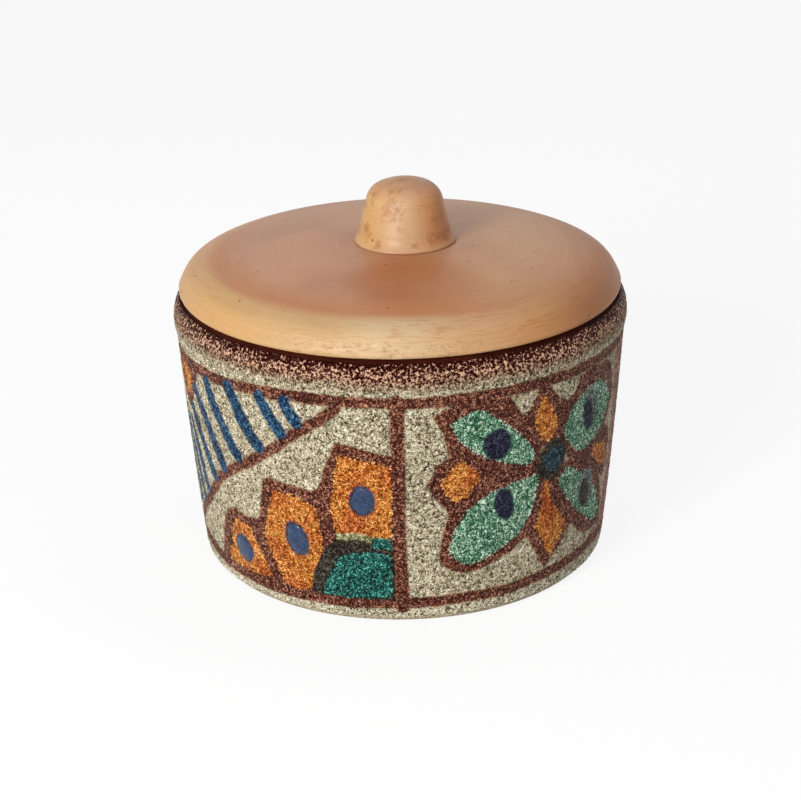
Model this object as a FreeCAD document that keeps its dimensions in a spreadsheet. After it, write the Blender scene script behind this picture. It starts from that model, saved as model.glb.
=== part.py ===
import FreeCAD, Part
import math
import os
import re
import Sketcher

# Round lidded box of hand-thrown earthenware.
# A low drum of clay wears a gritty painted coat, and a plain turned clay lid with a luted knob drops into its mouth.
# The origin is the centre of the resting face, +Z is up and lengths are in millimetres.

document = FreeCAD.newDocument("lidded_box")
sheet = document.addObject("Spreadsheet::Sheet", "Sizes")

sizes = [
    # Clay pot, outside: the rim is measured down and in from its widest radius and its top
    ("potRadius", 64.1),
    ("potHeight", 78.8),
    ("shoulderStep", 1.5),
    ("shoulderDrop", 1.4),
    ("shoulderTurn", 1.7),
    ("rollDrop", 4.2),
    ("creaseStep", 0.6),
    ("creaseDrop", 5.0),
    ("wallBelly", 0.3),
    ("heelRadius", 58.7),
    ("heelHeight", 3.8),
    ("heelBulge", 0.15),
    ("bevelStep", 0.7),
    ("bevelHeight", 1.6),
    ("footStep", 1.0),
    # Clay pot, inside
    ("wallThickness", 6.0),
    ("floorThickness", 6.8),
    ("floorCove", 8.0),
    ("landWidth", 4.3),
    ("mouthRound", 1.6),
    ("throatSpare", 1.3),
    ("throatFlare", 6.8),
    # Gritty coat on the outside of the pot
    ("coatThickness", 0.9),
    ("coatLip", 0.45),
    ("coatCreaseRound", 3.0),
    # Lid, measured in from the rim and up from the face that sits on it
    ("lidInset", 1.0),
    ("lidEdgeHeight", 1.4),
    ("lidEdgeRound", 1.0),
    ("lidBrowStep", 1.5),
    ("lidBrowRise", 2.9),
    ("lidShoulderStep", 3.0),
    ("lidShoulderRise", 2.7),
    ("lidCrownStep", 6.2),
    ("lidCrownRise", 1.9),
    ("lidDomeRise", 3.7),
    ("lidHollowStep", 1.4),
    ("lidHollowRise", 5.2),
    # Locating ring under the lid
    ("ringClearance", 1.0),
    ("ringThickness", 4.2),
    ("ringDepth", 6.5),
    ("ringTaper", 0.6),
    ("ringRound", 1.2),
    # Knob, measured up from the flat spot on the lid that carries it
    ("knobOffCentre", 1.8),
    ("knobSeatMargin", 0.3),
    ("knobBaseRadius", 14.5),
    ("knobToe", 0.4),
    ("knobNeckStep", 1.6),
    ("knobNeckRise", 4.0),
    ("knobFlareHollow", 0.35),
    ("knobFlankLean", 1.9),
    ("knobFlankRise", 7.9),
    ("knobCornerStep", 4.0),
    ("knobCornerRise", 4.4),
    ("knobCrownRise", 1.4),
]

for row, (name, size) in enumerate(sizes, start=1):
    sheet.set(f"A{row}", name)
    sheet.set(f"B{row}", str(size))
    sheet.setAlias(f"B{row}", name)
document.recompute()

# How closely an edge has to lie to the place it is looked for, as a share of its radius
match_share = 0.0005


def tied(formula):
    """Turn a formula in plain size names into one that reads the sheet."""
    return re.sub(r"[A-Za-z]\w*", lambda word: "Sizes." + word.group(), formula)


def number(formula):
    """Work out a formula in millimetres."""
    if formula == "0":
        return 0.0
    return float(sheet.evalExpression(tied(formula)))


def point(place):
    radius, height = place
    return FreeCAD.Vector(number(radius), number(height), 0)


def centre_through(start, via, end):
    """Centre of the circle through three points."""
    return Part.Circle(start, via, end).Center


def centre_smooth(start, direction, end):
    """Centre of the circle that leaves start along direction and reaches end."""
    normal = FreeCAD.Vector(-direction.y, direction.x, 0)
    chord = end - start
    return start + normal * (chord.dot(chord) / (2 * chord.dot(normal)))


def centre_on_axis(start, end):
    """Centre of the circle through both points that has its centre on the axis."""
    height = (end.dot(end) - start.dot(start)) / (2 * (end.y - start.y))
    return FreeCAD.Vector(0, height, 0)


def turns_left(start, centre, direction):
    """Whether an arc that leaves start along direction runs anticlockwise round its centre."""
    arm = start - centre
    return arm.x * direction.y - arm.y * direction.x > 0


class Outline:
    """A closed half section in the XZ plane: every corner is tied to the sheet by its radius and height."""

    def __init__(self, body, first):
        self.sketch = body.newObject("Sketcher::SketchObject", body.Name + "_section")
        planes = [feature for feature in body.Origin.OriginFeatures if feature.Role == "XZ_Plane"]
        self.sketch.AttachmentSupport = (planes[0], [""])
        self.sketch.MapMode = "FlatFace"
        self.first = first
        self.place = first
        self.end = None
        self.direction = None
        self.corners = []

    def tie(self, kind, curve, spot, formula):
        """Hold one coordinate of a point by a formula in the sheet."""
        if formula == "0":
            axis = -2 if kind == "DistanceX" else -1
            self.sketch.addConstraint(Sketcher.Constraint("PointOnObject", curve, spot, axis))
            return
        held = Sketcher.Constraint(kind, -1, 1, curve, spot, number(formula))
        index = self.sketch.addConstraint(held)
        self.sketch.setExpression(f"Constraints[{index}]", tied(formula))

    def tie_point(self, curve, spot, place):
        if place == ("0", "0"):
            self.sketch.addConstraint(Sketcher.Constraint("Coincident", curve, spot, -1, 1))
            return
        self.tie("DistanceX", curve, spot, place[0])
        self.tie("DistanceY", curve, spot, place[1])

    def join(self, curve, start_spot, end_spot, smooth):
        """Join a new curve to the one before it and remember where it ends."""
        if self.end is not None:
            kind = "Tangent" if smooth else "Coincident"
            self.sketch.addConstraint(Sketcher.Constraint(kind, *self.end, curve, start_spot))
        self.corners.append((curve, start_spot, self.place))
        self.end = (curve, end_spot)

    def line(self, *place):
        start, end = point(self.place), point(place)
        curve = self.sketch.addGeometry(Part.LineSegment(start, end))
        self.join(curve, 1, 2, False)
        self.direction = (end - start).normalize()
        self.place = place

    def add_arc(self, place, centre, direction, smooth):
        start, end = point(self.place), point(place)
        left = turns_left(start, centre, direction)
        low, high = (start - centre, end - centre) if left else (end - centre, start - centre)
        circle = Part.Circle(centre, FreeCAD.Vector(0, 0, 1), (start - centre).Length)
        angles = [math.atan2(arm.y, arm.x) for arm in (low, high)]
        curve = self.sketch.addGeometry(Part.ArcOfCircle(circle, *angles))
        self.join(curve, 1 if left else 2, 2 if left else 1, smooth)
        arm = end - centre
        self.direction = FreeCAD.Vector(-arm.y, arm.x, 0) if left else FreeCAD.Vector(arm.y, -arm.x, 0)
        self.direction.normalize()
        self.place = place
        return curve

    def arc(self, *place, via):
        """Arc through a named point on the way."""
        start, middle, end = point(self.place), point(via), point(place)
        centre = centre_through(start, middle, end)
        curve = self.add_arc(place, centre, middle - start, False)
        mark = self.sketch.addGeometry(Part.Point(middle), True)
        self.tie_point(mark, 1, via)
        self.sketch.addConstraint(Sketcher.Constraint("PointOnObject", mark, 1, curve))

    def smooth_arc(self, *place):
        """Arc that carries on from the curve before it with no corner."""
        centre = centre_smooth(point(self.place), self.direction, point(place))
        self.add_arc(place, centre, self.direction, True)

    def axis_arc(self, *place):
        """Arc of a sphere: its centre lies on the axis."""
        start, end = point(self.place), point(place)
        curve = self.add_arc(place, centre_on_axis(start, end), end - start, False)
        self.sketch.addConstraint(Sketcher.Constraint("PointOnObject", curve, 3, -2))

    def close(self):
        """Run a line back to the first corner where one is needed, then hold every corner."""
        if self.place != self.first:
            self.line(*self.first)
        self.sketch.addConstraint(Sketcher.Constraint("Coincident", *self.end, *self.corners[0][:2]))
        for curve, spot, place in self.corners:
            self.tie_point(curve, spot, place)
        return self.sketch


def new_body(label):
    body = document.addObject("PartDesign::Body", label)
    body.Label = label
    return body


def turned(body, sketch):
    """Spin a half section round the axis, as clay turns on a wheel."""
    spin = body.newObject("PartDesign::Revolution", body.Name + "_turned")
    spin.Profile = sketch
    spin.ReferenceAxis = (sketch, ["V_Axis"])
    spin.Angle = 360
    document.recompute()
    return spin


def rounded(body, name, fillet_radius, edge_radius, edge_height):
    """Round the ring-shaped edge at a given radius and height."""
    near = number(edge_radius) * match_share
    base = body.Tip
    found = []
    for index, edge in enumerate(base.Shape.Edges, start=1):
        if edge.Degenerated or not isinstance(edge.Curve, Part.Circle):
            continue
        radius_gap = abs(edge.Curve.Radius - number(edge_radius))
        height_gap = abs(edge.Curve.Center.z - number(edge_height))
        if max(radius_gap, height_gap) < near:
            found.append(f"Edge{index}")
    fillet = body.newObject("PartDesign::Fillet", name)
    fillet.Base = (base, found)
    fillet.setExpression("Radius", tied(fillet_radius))
    document.recompute()
    return fillet


def between(low, high, bulge):
    """The place midway between two others, moved outwards by a bulge."""
    return f"({low[0]} + {high[0]}) / 2 + {bulge}", f"({low[1]} + {high[1]}) / 2"


def outward(place, step):
    """The same place, further from the axis."""
    return f"{place[0]} + {step}", place[1]


# Corners of the clay pot's outer skin, from the foot up, each as a radius and a height
bevel = ("heelRadius - bevelStep", "bevelHeight")
heel = ("heelRadius", "bevelHeight + heelHeight")
shoulder = ("potRadius - shoulderStep", "potHeight - shoulderDrop")
roll = ("potRadius", shoulder[1] + " - rollDrop")
crease = ("potRadius - creaseStep", roll[1] + " - creaseDrop")
heel_way = between(bevel, heel, "heelBulge")
wall_way = between(heel, crease, "wallBelly")

# Radii and heights that the pot, the lid and its ring share
land_radius = shoulder[0] + " - shoulderTurn"
mouth_radius = land_radius + " - landWidth"
throat_height = "potHeight - ringDepth - throatSpare"
ring_radius = mouth_radius + " - ringClearance"
ring_bore = ring_radius + " - ringThickness"
lid_top = "lidEdgeHeight + lidBrowRise + lidShoulderRise + lidCrownRise + lidDomeRise"


def make_pot_body():
    """The thrown clay pot: flat wiped foot, leaning wall, soft rolled rim with a flat land, open mouth."""
    body = new_body("pot_body")
    inner_heel = ("heelRadius - wallThickness", "floorThickness")
    inner_top = (crease[0] + " - wallThickness", throat_height + " - throatFlare")
    section = Outline(body, ("0", "0"))
    section.line(bevel[0] + " - footStep", "0")
    section.line(*bevel)
    section.arc(*heel, via=heel_way)
    section.arc(*crease, via=wall_way)
    section.arc(*shoulder, via=roll)
    section.smooth_arc(land_radius, "potHeight")
    section.line(mouth_radius, "potHeight")
    section.line(mouth_radius, throat_height)
    section.line(*inner_top)
    section.arc(*inner_heel, via=between(inner_heel, inner_top, "wallBelly"))
    section.line("0", "floorThickness")
    turned(body, section.close())
    rounded(body, "mouth_round", "mouthRound", mouth_radius, "potHeight")
    rounded(body, "floor_cove", "floorCove", *inner_heel)
    return body


def make_sand_slip_coat():
    """The gritty coat: it starts at the wiped bevel, follows the wall and thins out over the roll of the rim."""
    body = new_body("sand_slip_coat")
    coat = "coatThickness"
    section = Outline(body, bevel)
    section.line(*outward(bevel, coat))
    section.arc(*outward(heel, coat), via=outward(heel_way, coat))
    section.arc(*outward(crease, coat), via=outward(wall_way, coat))
    section.arc(shoulder[0] + " + coatLip", shoulder[1] + " + coatLip", via=outward(roll, coat))
    section.line(*shoulder)
    section.arc(*crease, via=roll)
    section.arc(*heel, via=wall_way)
    section.arc(*bevel, via=heel_way)
    turned(body, section.close())
    rounded(body, "coat_crease", "coatCreaseRound", *outward(crease, coat))
    return body


def make_lid_disc():
    """The turned lid: a low dome with a soft shoulder, a flat spot for the knob and a shallow hollow below."""
    body = new_body("lid_disc")
    edge = ("potRadius - lidInset", "lidEdgeHeight")
    brow = (edge[0] + " - lidBrowStep", edge[1] + " + lidBrowRise")
    bend = (brow[0] + " - lidShoulderStep", brow[1] + " + lidShoulderRise")
    crown = (bend[0] + " - lidCrownStep", bend[1] + " + lidCrownRise")
    section = Outline(body, ("0", lid_top))
    section.line("knobBaseRadius + knobOffCentre + knobSeatMargin", lid_top)
    section.axis_arc(*crown)
    section.smooth_arc(*bend)
    section.smooth_arc(*brow)
    section.smooth_arc(*edge)
    section.line(edge[0], "0")
    section.line(ring_bore + " - lidHollowStep", "0")
    section.axis_arc("0", "lidHollowRise")
    turned(body, section.close())
    rounded(body, "lid_edge_round", "lidEdgeRound", edge[0], "0")
    body.setExpression("Placement.Base.z", tied("potHeight"))
    return body


def make_lid_locating_ring():
    """The ring luted under the lid: it drops into the mouth with a running gap and keeps the lid central."""
    body = new_body("lid_locating_ring")
    toe_radius = ring_radius + " - ringTaper"
    section = Outline(body, (ring_radius, "ringDepth"))
    section.line(toe_radius, "0")
    section.line(ring_bore, "0")
    section.line(ring_bore, "ringDepth")
    turned(body, section.close())
    rounded(body, "ring_outer_round", "ringRound", toe_radius, "0")
    rounded(body, "ring_inner_round", "ringRound", ring_bore, "0")
    body.setExpression("Placement.Base.z", tied("potHeight - ringDepth"))
    return body


def make_lid_knob():
    """The hand-shaped knob: a flared toe, a leaning flank and a flattened crown, set a little off centre."""
    body = new_body("lid_knob")
    toe = ("knobBaseRadius", "knobToe")
    neck = (toe[0] + " - knobNeckStep", toe[1] + " + knobNeckRise")
    flank = (neck[0] + " - knobFlankLean", neck[1] + " + knobFlankRise")
    crown = (flank[0] + " - knobCornerStep", flank[1] + " + knobCornerRise")
    section = Outline(body, ("0", "0"))
    section.line(toe[0], "0")
    section.line(*toe)
    section.arc(*neck, via=between(toe, neck, "0 - knobFlareHollow"))
    section.line(*flank)
    section.smooth_arc(*crown)
    section.axis_arc("0", crown[1] + " + knobCrownRise")
    turned(body, section.close())
    body.setExpression("Placement.Base.x", tied("knobOffCentre"))
    body.setExpression("Placement.Base.z", tied("potHeight + " + lid_top))
    return body


parts = [
    make_pot_body(),
    make_sand_slip_coat(),
    make_lid_disc(),
    make_lid_locating_ring(),
    make_lid_knob(),
]
document.recompute()

for item in document.Objects:
    if "Invalid" in item.State or "Error" in item.State:
        raise RuntimeError(f"{item.Label} did not build")
for part in parts:
    if part.Shape.isNull() or not part.Shape.isValid() or len(part.Shape.Solids) != 1:
        raise RuntimeError(f"{part.Label} is not one whole solid")

os.makedirs("parts", exist_ok=True)
for part in parts:
    part.Shape.exportStep(f"parts/{part.Label}.step")
    box = part.Shape.optimalBoundingBox(False, False)
    print(f"{part.Label}: {part.Shape.Volume / 1000:.1f} cm3, width {box.XLength:.2f},"
          f" from {box.ZMin:.2f} to {box.ZMax:.2f}")
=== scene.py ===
# %% [markdown]
# # A lidded earthenware box
#
# The object is a low round box of thrown clay. Its wall wears a thick coat of sandy slip with a painted
# pattern, and a plain turned lid sits on the rim. The solids of the five pieces come from the packed
# model. This notebook dresses them: it turns each piece again with the small unevenness of handwork,
# paints the coat and mixes the clay colours.
#
# Lengths on the box are in millimetres, as a potter measures, and become metres only where Blender needs
# them. The floor and the lamps are placed in metres.

import math

import bpy
import numpy as np
from mathutils import Matrix, Vector


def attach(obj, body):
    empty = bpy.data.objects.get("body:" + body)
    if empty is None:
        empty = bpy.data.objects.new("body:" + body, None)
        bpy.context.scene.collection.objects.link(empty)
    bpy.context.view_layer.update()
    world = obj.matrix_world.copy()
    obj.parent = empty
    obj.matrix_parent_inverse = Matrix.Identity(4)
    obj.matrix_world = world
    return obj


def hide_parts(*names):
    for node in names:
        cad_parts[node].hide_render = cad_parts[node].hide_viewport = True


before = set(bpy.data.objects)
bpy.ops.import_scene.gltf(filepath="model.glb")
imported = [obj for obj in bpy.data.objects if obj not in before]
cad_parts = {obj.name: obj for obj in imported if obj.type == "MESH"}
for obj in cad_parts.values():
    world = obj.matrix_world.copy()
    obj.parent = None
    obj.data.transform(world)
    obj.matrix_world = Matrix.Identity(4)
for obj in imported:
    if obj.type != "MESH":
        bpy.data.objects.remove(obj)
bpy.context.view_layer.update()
MM = 0.001
print("nodes:", sorted(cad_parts))

# %% [markdown]
# ## The camera
#
# The picture was taken from in front and a little above, from about 60 cm away. The place, tilt and lens
# below are the ones that make the rings of the foot, rim and lid fall where the picture shows them. The
# camera is rolled by one degree, because it was held by hand.

# %% Place the camera
CAMERA_BACK, CAMERA_UP = 540.0, 265.2
TILT_DOWN, TURN, ROLL = math.radians(22.472), math.radians(-0.048), math.radians(-1.125)
LENS, FILM_WIDTH = 89.4, 36.0


def camera_axes():
    """The camera's right, up and backward directions."""
    level = math.cos(TILT_DOWN)
    forward = Vector((math.sin(TURN) * level, math.cos(TURN) * level, -math.sin(TILT_DOWN)))
    right = Vector((math.cos(TURN), -math.sin(TURN), 0))
    up = right.cross(forward)
    rolled_right = math.cos(ROLL) * right + math.sin(ROLL) * up
    rolled_up = math.cos(ROLL) * up - math.sin(ROLL) * right
    return rolled_right, rolled_up, -forward


camera = bpy.data.objects.new("camera", bpy.data.cameras.new("camera"))
camera.data.lens = LENS
camera.data.sensor_width = FILM_WIDTH
camera.matrix_world = Matrix.Translation((0, -CAMERA_BACK * MM, CAMERA_UP * MM)) @ (
    Matrix(camera_axes()).transposed().to_4x4())
bpy.context.scene.collection.objects.link(camera)
bpy.context.scene.camera = camera
print("camera at", tuple(round(v, 4) for v in camera.location))

# %% [markdown]
# ## Reading an outline from a turned solid
#
# Everything on a potter's wheel is an outline spun round an axis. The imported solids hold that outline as
# the row of points where the spun surface closes on itself, at y = 0. Walking along this seam from point
# to point gives the outline back in order. It is cut into runs at its sharp corners, so that each run can
# be drawn smoothly.

# %% Read an outline
SHARP_CORNER = math.radians(9.5)
SAME_POINT = 1e-3


def seam_points(node, axis_x):
    """The seam's points (radius, height) of a turned node, and which of them are joined."""
    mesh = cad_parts[node].data
    number_of, points, joined = {}, [], {}
    for vertex in mesh.vertices:
        x, y, z = vertex.co / MM
        if abs(y) < SAME_POINT and x - axis_x > -SAME_POINT:
            key = (round((x - axis_x) / SAME_POINT), round(z / SAME_POINT))
            if key not in points:
                points.append(key)
            number_of[vertex.index] = points.index(key)
    for edge in mesh.edges:
        a, b = (number_of.get(v) for v in edge.vertices)
        if a is not None and b is not None and a != b:
            joined.setdefault(a, set()).add(b)
            joined.setdefault(b, set()).add(a)
    return np.array(points) * SAME_POINT, joined


def walk_seam(node, axis_x):
    """The seam's points in order, outer side first, and whether they close into a loop."""
    points, joined = seam_points(node, axis_x)
    ends = [p for p in joined if len(joined[p]) == 1]
    here = min(ends or joined, key=lambda p: (points[p][1], points[p][0]))
    order = []
    while here is not None:
        order.append(here)
        onward = sorted(joined[here] - set(order), key=lambda p: -points[p][0])
        here = onward[0] if onward else None
    return points[order], not ends


def runs_of(node, axis_x):
    """The outline of a turned node as runs between its sharp corners, and whether it closes into a loop."""
    points, closed = walk_seam(node, axis_x)
    if closed:
        points = np.vstack([points, points[:1]])
    if not closed and points[0][0] > SAME_POINT:
        points = np.vstack([[(0, points[0][1])], points])
    if not closed and points[-1][0] > SAME_POINT:
        points = np.vstack([points, [(0, points[-1][1])]])
    steps = np.diff(points, axis=0)
    heading = np.arctan2(steps[:, 1], steps[:, 0])
    bend = np.abs((np.diff(heading) + math.pi) % (2 * math.pi) - math.pi)
    cuts = [0, *(np.flatnonzero(bend > SHARP_CORNER) + 1), len(points) - 1]
    return [points[a:b + 1] for a, b in zip(cuts, cuts[1:])], closed


# %% [markdown]
# ## Turning a piece again
#
# A pot is made by turning, and so is its mesh: the outline is drawn once and spun round the axis. First
# the drawing: each run becomes a smooth curve through its points, with new points evenly along it, as
# close together as the relief of that run needs.

# %% Draw the outline
def smooth_run(points, spacing):
    """Evenly spaced points along a smooth curve through the points of one run."""
    ahead = np.vstack([points[1:2] - points[:1], points[2:] - points[:-2], points[-1:] - points[-2:-1]])
    ahead /= np.linalg.norm(ahead, axis=1, keepdims=True)
    lengths = np.linalg.norm(np.diff(points, axis=0), axis=1)
    along = np.concatenate([[0], np.cumsum(lengths)])
    at = np.linspace(0, along[-1], max(2, round(along[-1] / spacing) + 1))
    part = np.clip(np.searchsorted(along, at, side="right") - 1, 0, len(lengths) - 1)
    reach = lengths[part][:, None]
    t = (at - along[part])[:, None] / reach
    return ((1 + 2 * t) * (1 - t) ** 2 * points[part] + t * (1 - t) ** 2 * reach * ahead[part]
            + t * t * (3 - 2 * t) * points[part + 1] - t * t * (1 - t) * reach * ahead[part + 1])


def drawn_outline(node, spacings, axis_x):
    """The outline's points, with one spacing for all runs or one for each."""
    runs, closed = runs_of(node, axis_x)
    print(node, "has runs from", [tuple(run[0].round(1).tolist()) for run in runs])
    if isinstance(spacings, float):
        spacings = [spacings] * len(runs)
    drawn = [smooth_run(run, spacing) for run, spacing in zip(runs, spacings, strict=True)]
    number = np.concatenate([np.full(len(run) - 1, n) for n, run in enumerate(drawn)] + [[len(drawn) - 1]])
    outline = np.vstack([run[:-1] for run in drawn] + [drawn[-1][-1:]])
    return (outline[:-1], number[:-1], closed) if closed else (outline, number, closed)


# %% [markdown]
# ### Spinning
#
# The outline is spun into rows of points round the axis. Each second row is shifted by half a step, so
# the triangles between the rows are nearly even and no grid shows in the relief. The direction of the
# outline tells later which way is outward.

# %% Spin the outline
def directions_along(outline, closed):
    """The outline's direction at each of its points."""
    before, after = np.roll(outline, 1, 0), np.roll(outline, -1, 0)
    if not closed:
        before[0] = outline[0]
        after[-1] = outline[-1]
    ahead = after - before
    return ahead / np.linalg.norm(ahead, axis=1, keepdims=True)


def rows_round(outline, columns):
    """The point numbers of each row, then the row and the angle of each point. A pole is one point."""
    rows, angle, number = [], [], 0
    for row, radius in enumerate(outline[:, 0]):
        count = columns if radius > SAME_POINT else 1
        rows.append(np.arange(number, number + count))
        angle.append((np.arange(count) + row % 2 / 2) * 2 * math.pi / columns)
        number += count
    row_of = np.repeat(np.arange(len(rows)), [len(row) for row in rows])
    return rows, row_of, np.concatenate(angle)


def triangles_between(low, high, shifted):
    """Triangles between two rows of point numbers. A row of one point is a pole."""
    low_next, high_next = np.roll(low, -1), np.roll(high, -1)
    if len(low) == 1:
        return np.c_[np.full(len(high), low[0]), high_next, high]
    if len(high) == 1:
        return np.c_[low, low_next, np.full(len(low), high[0])]
    if shifted:
        return np.vstack([np.c_[low, high_next, high], np.c_[low, low_next, high_next]])
    return np.vstack([np.c_[low, low_next, high], np.c_[low_next, high_next, high]])


# %% [markdown]
# ### Pressing
#
# A turned piece knows of each point what its relief may depend on: where it is, at which angle and in
# which run. When the mesh is made, every point may be pressed a little into the clay. That is how grit,
# throwing rings and finger marks become real shape. Points are never moved outward, so the piece stays
# inside its solid.

# %% Press the relief and make the mesh
class Turning:
    """The points of a turned piece before its relief: their places, outward directions, radius, height,
    angle from the front towards the viewer's right, and the number of their run."""

    def __init__(self, node, spacings, columns, axis_x=0.0):
        self.columns = columns
        self.outline, self.outline_run, closed = drawn_outline(node, spacings, axis_x)
        rows, self.row_of, self.angle = rows_round(self.outline, columns)
        pairs = [(row, row + 1) for row in range(len(rows) - 1)]
        if closed:
            pairs.append((len(rows) - 1, 0))
        self.triangles = np.vstack([triangles_between(rows[a], rows[b], a % 2) for a, b in pairs])
        self.radius, self.height = self.outline[self.row_of].T
        self.run = self.outline_run[self.row_of]
        round_it = np.c_[np.sin(self.angle), -np.cos(self.angle)]
        self.places = np.c_[round_it * self.radius[:, None], self.height] + (axis_x, 0, 0)
        ahead = directions_along(self.outline, closed)[self.row_of]
        self.outward = np.c_[round_it * ahead[:, 1:], -ahead[:, 0]]

    def mesh(self, name, pressed_in=0.0):
        """A Blender object of the piece, with each point pressed in by so many mm."""
        places = self.places - self.outward * np.broadcast_to(pressed_in, len(self.places))[:, None]
        data = bpy.data.meshes.new(name)
        data.from_pydata((places * MM).tolist(), [], self.triangles.tolist())
        data.shade_smooth()
        piece = bpy.data.objects.new(name, data)
        bpy.context.scene.collection.objects.link(piece)
        print(name, len(data.vertices), "points", len(data.polygons), "triangles")
        return piece


# %% [markdown]
# ## Unevenness
#
# Nothing on a handmade pot is even. Two kinds of chance are enough here: a soft swelling of a chosen
# size, made by blending random numbers between the corners of a lattice, and single random numbers for
# grains of sand. Both come from a seeded source, so the pot is the same each time.

# %% Make noise
chance = np.random.default_rng(11)
LATTICE = chance.random((64, 64, 64))


def swelling(places, size, shift=0):
    """Noise from -1 to 1 that rises and falls about every `size` mm."""
    cell = np.asarray(places) / size + shift
    base = np.floor(cell).astype(int)
    part = cell - base
    part = part * part * (3 - 2 * part)
    total = 0
    for corner in np.ndindex(2, 2, 2):
        share = np.prod(np.where(corner, part, 1 - part), axis=1)
        total = total + share * LATTICE[tuple(((base + corner) % len(LATTICE)).T)]
    return 2 * total - 1


def rise(value, low, high):
    """0 below low, 1 above high, and a soft step between."""
    t = np.clip((value - low) / (high - low), 0, 1)
    return t * t * (3 - 2 * t)


def within(value, low, full, fading, gone):
    """1 from full to fading, 0 below low and above gone, and soft steps between."""
    return rise(value, low, full) * rise(-value, -gone, -fading)


# %% [markdown]
# ## The painter's plan
#
# The wall is unrolled for painting: a point on it is an angle in degrees, counted from the front towards
# the viewer's right, and a height. Four upright bars divide the wall into four panels, and two motifs
# take turns. Only one of each shows in the picture, and each is painted a second time on the far side.
#
# Each shape stores how deep inside its paint a point lies, in mm, and a negative number outside. A depth
# blends truly between the points of a mesh, so the edge of the paint can be drawn finer than the mesh
# itself.
#
# The first motif is a quarter sun with three petals, under a brown arc and a fan of blue strokes. The
# brown goes on first and reaches further than the paints over it, so it is left as their outline.

# %% The sun
# Each shape is a paint and its corners (angle, height). A brush stroke also has its half width, a dot is
# its middle, half width, half height and lean.
SUN_AREAS = [
    ("brown", [(-16.6, 54.9), (-13.8, 54.9), (-10, 53.9), (-5, 52.3), (-2.5, 51.8), (-2.5, 6),
               (-60.6, 6.4), (-59.4, 11), (-57.8, 16.5), (-56, 22), (-53.5, 25), (-50, 26.8), (-46, 25.5),
               (-41.6, 26.2), (-40.5, 27.5), (-39.6, 31), (-38.5, 36), (-38, 40), (-36, 41), (-30, 40.2),
               (-24, 39.4), (-22.2, 40.2), (-21, 42.6), (-20.2, 46), (-18.9, 49.5), (-17.5, 53)]),
    ("orange", [(-16.1, 51), (-14.6, 51.6), (-10, 50.2), (-3, 48.8), (-3, 26.9), (-8, 26.4), (-12, 27.4),
                (-17.2, 26.8), (-18.5, 32.5), (-18.8, 36.5), (-17.6, 41), (-17, 46)]),
    ("orange", [(-35, 37.2), (-29, 36.6), (-22.6, 35), (-22.3, 31), (-21.3, 24), (-22.5, 18.5),
                (-25, 12.5), (-26.1, 8), (-29, 7.5), (-33.5, 7.8), (-36, 12.5), (-38, 17.5),
                (-39.5, 21.8), (-38.5, 26), (-36.5, 32)]),
    ("orange", [(-49.5, 23.4), (-44.6, 22.4), (-43, 18.5), (-40.5, 14.5), (-38.5, 9), (-41, 8),
                (-50, 7.8), (-56.5, 8), (-56.5, 9.8), (-54, 13.5), (-53, 18), (-52.4, 21)]),
    ("sage", [(-17.5, 27.6), (-12, 27.9), (-8, 27), (-3.4, 27.2), (-3.4, 24), (-12, 24.5), (-17, 24)]),
    ("teal", [(-8.6, 26.4), (-3.4, 27), (-3.4, 23.5), (-7.5, 23.5)]),
    ("black", [(-25.6, 7.6), (-24.6, 14), (-22.5, 18.8), (-20.4, 22.6), (-17.5, 25.2), (-12, 25.9),
               (-6, 24.9), (-3, 24.4), (-3, 7.2)]),
    ("teal", [(-22.4, 8.2), (-21, 12), (-19, 16), (-17, 19.9), (-14, 21.5), (-8, 22.3), (-5, 21.8),
              (-3.7, 20.4), (-3.5, 10.5), (-4.8, 8.3), (-12, 7.7), (-17, 7.6)]),
    ("brown", [(-61.4, 66), (-63.2, 61), (-66.5, 55), (-69.8, 49.4), (-72.5, 49.6), (-78, 57),
               (-84, 66)]),
    ("orange", [(-67.5, 62.8), (-67.2, 59), (-69.3, 54.3), (-71.8, 54.6), (-76, 59), (-79, 63)]),
]
SUN_STROKES = [
    ("brown", 1.45, [(-15.6, 65.4), (-17.4, 63.6), (-20.2, 61.1), (-24.4, 58), (-27.6, 55.2), (-32, 51.2),
                     (-36.4, 48.1), (-40, 45.4), (-45, 41.9), (-50, 38.6), (-55, 34.7), (-59, 29.8),
                     (-64, 24.5), (-69, 20.4), (-74, 15.6), (-79, 10.6), (-82, 7.4)]),
    ("blue", 1.75, [(-29.2, 65), (-27.8, 62), (-26.2, 59.4)]),
    ("blue", 1.95, [(-36.6, 64.6), (-35, 61.6), (-33, 58.7), (-30.8, 55.4)]),
    ("blue", 2.1, [(-47.1, 64.4), (-45.8, 61.6), (-44, 58), (-40.8, 52.6), (-38.3, 49.8)]),
    ("blue", 2.0, [(-57, 62.6), (-55.2, 57.6), (-51.6, 52), (-48.6, 47), (-46.4, 44.4)]),
    ("blue", 1.85, [(-64.6, 57.4), (-61, 52.5), (-57.5, 47), (-55, 41.6), (-53.4, 38.6)]),
    ("blue", 1.75, [(-68.6, 50.2), (-65, 44.5), (-61.8, 38.5), (-58.8, 33.4)]),
    ("blue", 1.6, [(-72, 45.4), (-69, 38), (-66.4, 31), (-64.8, 26.6)]),
    ("blue", 1.5, [(-76.4, 44.6), (-73.4, 36), (-70.6, 27), (-69.4, 22.4)]),
    ("blue", 1.4, [(-80.6, 46), (-78, 36), (-75.6, 26), (-74.2, 18)]),
    ("blue", 1.2, [(-84.8, 48), (-82.6, 37), (-80.4, 25), (-79, 14)]),
    ("blue", 1.1, [(-88.4, 48), (-87, 36), (-85.4, 24), (-84.4, 14)]),
]
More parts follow.
